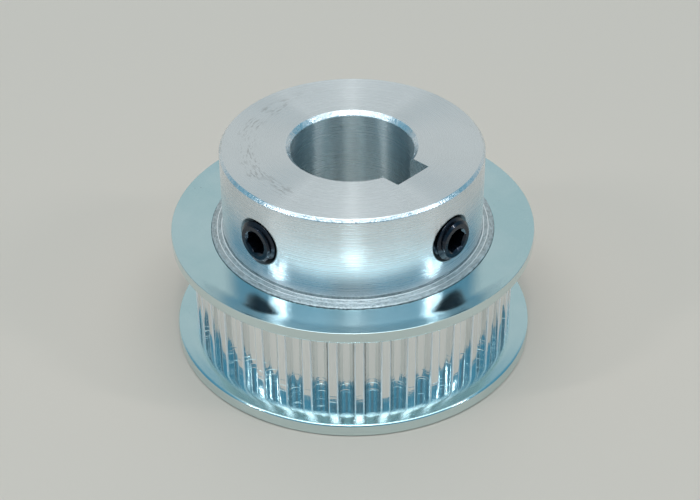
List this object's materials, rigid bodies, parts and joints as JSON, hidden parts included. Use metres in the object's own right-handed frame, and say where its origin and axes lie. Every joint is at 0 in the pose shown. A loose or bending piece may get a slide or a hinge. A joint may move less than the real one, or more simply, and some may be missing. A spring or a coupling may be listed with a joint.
{
  "type": "timing belt pulley",
  "caption": "Flanged timing belt pulley with a round hub, a keyed bore and radial set screws that clamp it to a shaft.",
  "frame": {"origin": "on the bore's axis, in the plane of the end face on the toothed side, which the part stands on", "axes": "+Z along the bore from the toothed end to the hub's face; +X from the axis through the middle of the keyway and the set screw over it; the second set screw faces -Y"},
  "size_m": [0.042, 0.042, 0.025],
  "materials": {
    "turned_aluminium": "bright turned, bare",
    "zinc_plated_steel": "zinc plate with a pale blue passivation, satin",
    "black_oxide_steel": "black oxide, lightly oiled"
  },
  "bodies": {
    "pulley": {"pulley_body": "turned_aluminium", "hub_flange": "zinc_plated_steel", "end_flange": "zinc_plated_steel"},
    "key_screw": {"key_set_screw": "black_oxide_steel"},
    "shaft_screw": {"shaft_set_screw": "black_oxide_steel"}
  },
  "joints": [
    {"name": "key_screw_slide", "type": "slide", "parent": "pulley", "child": "key_screw", "axis": [1, 0, 0], "range_m": [-0.0008, 0.004]},
    {"name": "shaft_screw_slide", "type": "slide", "parent": "pulley", "child": "shaft_screw", "axis": [0, -1, 0], "range_m": [-0.0024, 0.0048]}
  ]
}
